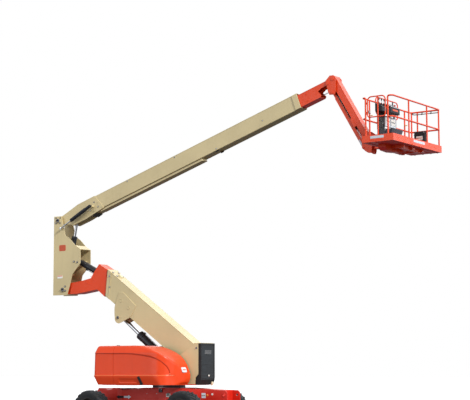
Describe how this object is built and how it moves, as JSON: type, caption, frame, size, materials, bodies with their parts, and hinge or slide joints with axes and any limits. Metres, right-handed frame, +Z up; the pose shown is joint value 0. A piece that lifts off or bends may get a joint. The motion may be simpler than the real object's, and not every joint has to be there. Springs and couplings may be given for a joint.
{
  "type": "articulating boom lift",
  "caption": "Wheeled self-propelled boom lift: turntable, two-part articulating boom with telescoping sections, upright, jib and a railed work platform.",
  "frame": {"origin": "on the ground under the middle of the machine's bounding box in the pose shown", "axes": "+X towards the work platform, +Y the machine's left side, +Z up"},
  "size_m": [11.415, 2.48, 8.8448],
  "materials": {
    "orange_red_paint": "gloss enamel",
    "bare_steel": "machined",
    "tyre_rubber": "lugged rubber",
    "rim_paint": "satin enamel",
    "orange_paint": "gloss enamel",
    "beige_paint": "gloss enamel",
    "black_cover": "moulded, fine grain",
    "engine_iron": "painted casting",
    "black_paint": "satin enamel",
    "chrome_rod": "polished"
  },
  "bodies": {
    "chassis": {"chassis_frame": "orange_red_paint", "rear_axle": "orange_red_paint", "front_axle": "orange_red_paint", "turntable_bearing": "bare_steel"},
    "knuckle_right": {"knuckle_front_right": "orange_red_paint"},
    "knuckle_left": {"knuckle_front_left": "orange_red_paint"},
    "tie_rod": {"tie_rod": "bare_steel"},
    "wheel_front_right": {"tyre_front_right": "tyre_rubber", "rim_front_right": "rim_paint"},
    "wheel_front_left": {"tyre_front_left": "tyre_rubber", "rim_front_left": "rim_paint"},
    "wheel_rear_right": {"tyre_rear_right": "tyre_rubber", "rim_rear_right": "rim_paint"},
    "wheel_rear_left": {"tyre_rear_left": "tyre_rubber", "rim_rear_left": "rim_paint"},
    "turntable": {"turntable_frame": "orange_paint", "boom_riser": "beige_paint", "riser_cover": "black_cover", "counterweight": "orange_paint", "engine_block": "engine_iron", "tanks": "black_cover"},
    "hood_door_right": {"hood_right": "orange_paint"},
    "hood_door_left": {"hood_left": "orange_paint"},
    "tower": {"tower_base": "beige_paint"},
    "tower_fly": {"tower_fly": "orange_paint"},
    "upright": {"upright": "beige_paint"},
    "main_boom": {"main_boom_base": "beige_paint"},
    "main_fly": {"main_boom_fly": "orange_paint"},
    "jib_bracket": {"jib_bracket": "orange_paint"},
    "jib": {"jib_arm": "orange_paint"},
    "jib_link": {"jib_link": "orange_paint"},
    "platform_support": {"platform_support": "orange_paint"},
    "platform": {"platform_carrier": "orange_paint", "platform_floor": "orange_paint", "platform_rails": "orange_paint", "control_console": "black_cover", "storage_box": "black_cover"},
    "gate": {"gate": "orange_paint"},
    "tower_cylinder_barrel": {"tower_cylinder_barrel": "black_paint"},
    "tower_cylinder_rod": {"tower_cylinder_rod": "chrome_rod"},
    "upright_cylinder_barrel": {"upright_cylinder_barrel": "black_paint"},
    "upright_cylinder_rod": {"upright_cylinder_rod": "chrome_rod"},
    "main_cylinder_barrel": {"main_cylinder_barrel": "black_paint"},
    "main_cylinder_rod": {"main_cylinder_rod": "chrome_rod"},
    "master_cylinder_barrel": {"master_cylinder_barrel": "black_paint"},
    "master_cylinder_rod": {"master_cylinder_rod": "chrome_rod"},
    "nose_cylinder_barrel": {"nose_cylinder_barrel": "black_paint"},
    "nose_cylinder_rod": {"nose_cylinder_rod": "chrome_rod"}
  },
  "joints": [
    {"name": "steer_right", "type": "hinge", "parent": "chassis", "child": "knuckle_right", "pos_m": [-0.5375, -0.69, 0.515], "axis": [0, 0, 1], "range_deg": [-35, 35]},
    {"name": "steer_left", "type": "hinge", "parent": "chassis", "child": "knuckle_left", "pos_m": [-0.5375, 0.69, 0.515], "axis": [0, 0, 1], "range_deg": [-35.5, 35.5]},
    {"name": "tie_rod_slide", "type": "slide", "parent": "chassis", "child": "tie_rod", "axis": [0, -1, 0], "range_m": [-0.19, 0.19]},
    {"name": "wheel_front_right_spin", "type": "hinge", "parent": "knuckle_right", "child": "wheel_front_right", "pos_m": [-0.5375, -1, 0.515], "axis": [0, 1, 0], "continuous": true},
    {"name": "wheel_front_left_spin", "type": "hinge", "parent": "knuckle_left", "child": "wheel_front_left", "pos_m": [-0.5375, 1, 0.515], "axis": [0, 1, 0], "continuous": true},
    {"name": "wheel_rear_right_spin", "type": "hinge", "parent": "chassis", "child": "wheel_rear_right", "pos_m": [-3.5875, -1, 0.515], "axis": [0, 1, 0], "continuous": true},
    {"name": "wheel_rear_left_spin", "type": "hinge", "parent": "chassis", "child": "wheel_rear_left", "pos_m": [-3.5875, 1, 0.515], "axis": [0, 1, 0], "continuous": true},
    {"name": "swing", "type": "hinge", "parent": "chassis", "child": "turntable", "pos_m": [-1.7775, 0, 1.13], "axis": [0, 0, 1], "continuous": true},
    {"name": "hood_right_open", "type": "hinge", "parent": "turntable", "child": "hood_door_right", "pos_m": [0, -0.372, 2.15], "axis": [-1, 0, 0], "range_deg": [0, 65]},
    {"name": "hood_left_open", "type": "hinge", "parent": "turntable", "child": "hood_door_left", "pos_m": [0, 0.372, 2.15], "axis": [1, 0, 0], "range_deg": [0, 65]},
    {"name": "tower_lift", "type": "hinge", "parent": "turntable", "child": "tower", "pos_m": [-1.0775, 0, 1.632], "axis": [0, 1, 0], "range_deg": [-35.2, 33]},
    {"name": "tower_telescope", "type": "slide", "parent": "tower", "child": "tower_fly", "axis": [-0.8171, 0, 0.5764], "range_m": [0, 2]},
    {"name": "upright_level", "type": "hinge", "parent": "tower_fly", "child": "upright", "pos_m": [-5.3415, 0, 3.79], "axis": [0, 1, 0], "range_deg": [-34, 36]},
    {"name": "main_lift", "type": "hinge", "parent": "upright", "child": "main_boom", "pos_m": [-5.5515, 0, 5.74], "axis": [0, -1, 0], "range_deg": [-18, 57]},
    {"name": "main_telescope", "type": "slide", "parent": "main_boom", "child": "main_fly", "axis": [0.9513, 0, 0.3082], "range_m": [0, 4.3]},
    {"name": "nose_level", "type": "hinge", "parent": "main_fly", "child": "jib_bracket", "pos_m": [3.27888, 0, 8.65846], "axis": [0, -1, 0], "range_deg": [-58, 19]},
    {"name": "jib_lift", "type": "hinge", "parent": "jib_bracket", "child": "jib", "pos_m": [3.4275, 0, 8.75], "axis": [0, -1, 0], "range_deg": [0, 124.5]},
    {"name": "jib_link_swing", "type": "hinge", "parent": "jib_bracket", "child": "jib_link", "pos_m": [3.4125, 0, 8.41], "axis": [0, -1, 0], "range_deg": [-1, 126]},
    {"name": "platform_level", "type": "hinge", "parent": "jib", "child": "platform_support", "pos_m": [4.29032, 0, 7.28523], "axis": [0, -1, 0], "range_deg": [-126, 1]},
    {"name": "platform_rotate", "type": "hinge", "parent": "platform_support", "child": "platform", "pos_m": [4.5975, 0, 6.957], "axis": [0, 0, 1], "range_deg": [-90, 90]},
    {"name": "gate_swing", "type": "hinge", "parent": "platform", "child": "gate", "pos_m": [4.9925, -1.214, 7.4], "axis": [0, 0, 1], "range_deg": [0, 85]},
    {"name": "tower_cylinder_pivot", "type": "hinge", "parent": "turntable", "child": "tower_cylinder_barrel", "pos_m": [-1.2775, 0, 1.34], "axis": [0, 1, 0], "range_deg": [-36.31, 34.08]},
    {"name": "tower_cylinder_stroke", "type": "slide", "parent": "tower_cylinder_barrel", "child": "tower_cylinder_rod", "axis": [-0.7882, 0, 0.6155], "range_m": [-0.2113, 0.1983]},
    {"name": "upright_cylinder_pivot", "type": "hinge", "parent": "upright", "child": "upright_cylinder_barrel", "pos_m": [-4.8855, 0, 4.55], "axis": [0, 1, 0], "range_deg": [-37.71, 35.38]},
    {"name": "upright_cylinder_stroke", "type": "slide", "parent": "upright_cylinder_barrel", "child": "upright_cylinder_rod", "axis": [0.8988, 0, -0.4383], "range_m": [-0.4902, 0.4597]},
    {"name": "main_cylinder_pivot", "type": "hinge", "parent": "upright", "child": "main_cylinder_barrel", "pos_m": [-5.3375, 0, 4.23], "axis": [0, -1, 0], "range_deg": [-4.47, 13.06]},
    {"name": "main_cylinder_stroke", "type": "slide", "parent": "main_cylinder_barrel", "child": "main_cylinder_rod", "axis": [0.1978, 0, 0.9802], "range_m": [-0.135, 0.4209]},
    {"name": "master_cylinder_pivot", "type": "hinge", "parent": "main_boom", "child": "master_cylinder_barrel", "pos_m": [-4.3375, -0.29, 6.07], "axis": [0, -1, 0], "range_deg": [-3.15, 1.34]},
    {"name": "master_cylinder_stroke", "type": "slide", "parent": "master_cylinder_barrel", "child": "master_cylinder_rod", "axis": [-0.8835, 0, -0.4684], "range_m": [-0.0848, 0.262]},
    {"name": "nose_cylinder_pivot", "type": "hinge", "parent": "main_fly", "child": "nose_cylinder_barrel", "pos_m": [2.31913, 0, 8.21405], "axis": [0, -1, 0], "range_deg": [-1.98, 5.18]},
    {"name": "nose_cylinder_stroke", "type": "slide", "parent": "nose_cylinder_barrel", "child": "nose_cylinder_rod", "axis": [0.9685, 0, 0.2491], "range_m": [-0.1656, 0.0543]}
  ],
  "couplings": [
    {"joint": "steer_left", "follows": "steer_right", "ratio": 1},
    {"joint": "tie_rod_slide", "follows": "steer_right", "m_per_rad": 0.285},
    {"joint": "upright_level", "follows": "tower_lift", "ratio": -1},
    {"joint": "nose_level", "follows": "main_lift", "ratio": -1},
    {"joint": "jib_link_swing", "follows": "jib_lift", "ratio": 1},
    {"joint": "platform_level", "follows": "jib_lift", "ratio": -1},
    {"joint": "tower_cylinder_pivot", "follows": "tower_lift", "ratio": 0.9975},
    {"joint": "tower_cylinder_stroke", "follows": "tower_lift", "m_per_rad": 0.33243},
    {"joint": "upright_cylinder_pivot", "follows": "tower_lift", "ratio": 1.0363},
    {"joint": "upright_cylinder_stroke", "follows": "tower_lift", "m_per_rad": 0.77743},
    {"joint": "main_cylinder_pivot", "follows": "main_lift", "ratio": 0.21599},
    {"joint": "main_cylinder_stroke", "follows": "main_lift", "m_per_rad": 0.4118},
    {"joint": "master_cylinder_pivot", "follows": "main_lift", "ratio": -0.045562},
    {"joint": "master_cylinder_stroke", "follows": "main_lift", "m_per_rad": 0.25523},
    {"joint": "nose_cylinder_pivot", "follows": "main_lift", "ratio": 0.080551},
    {"joint": "nose_cylinder_stroke", "follows": "main_lift", "m_per_rad": -0.1602}
  ]
}
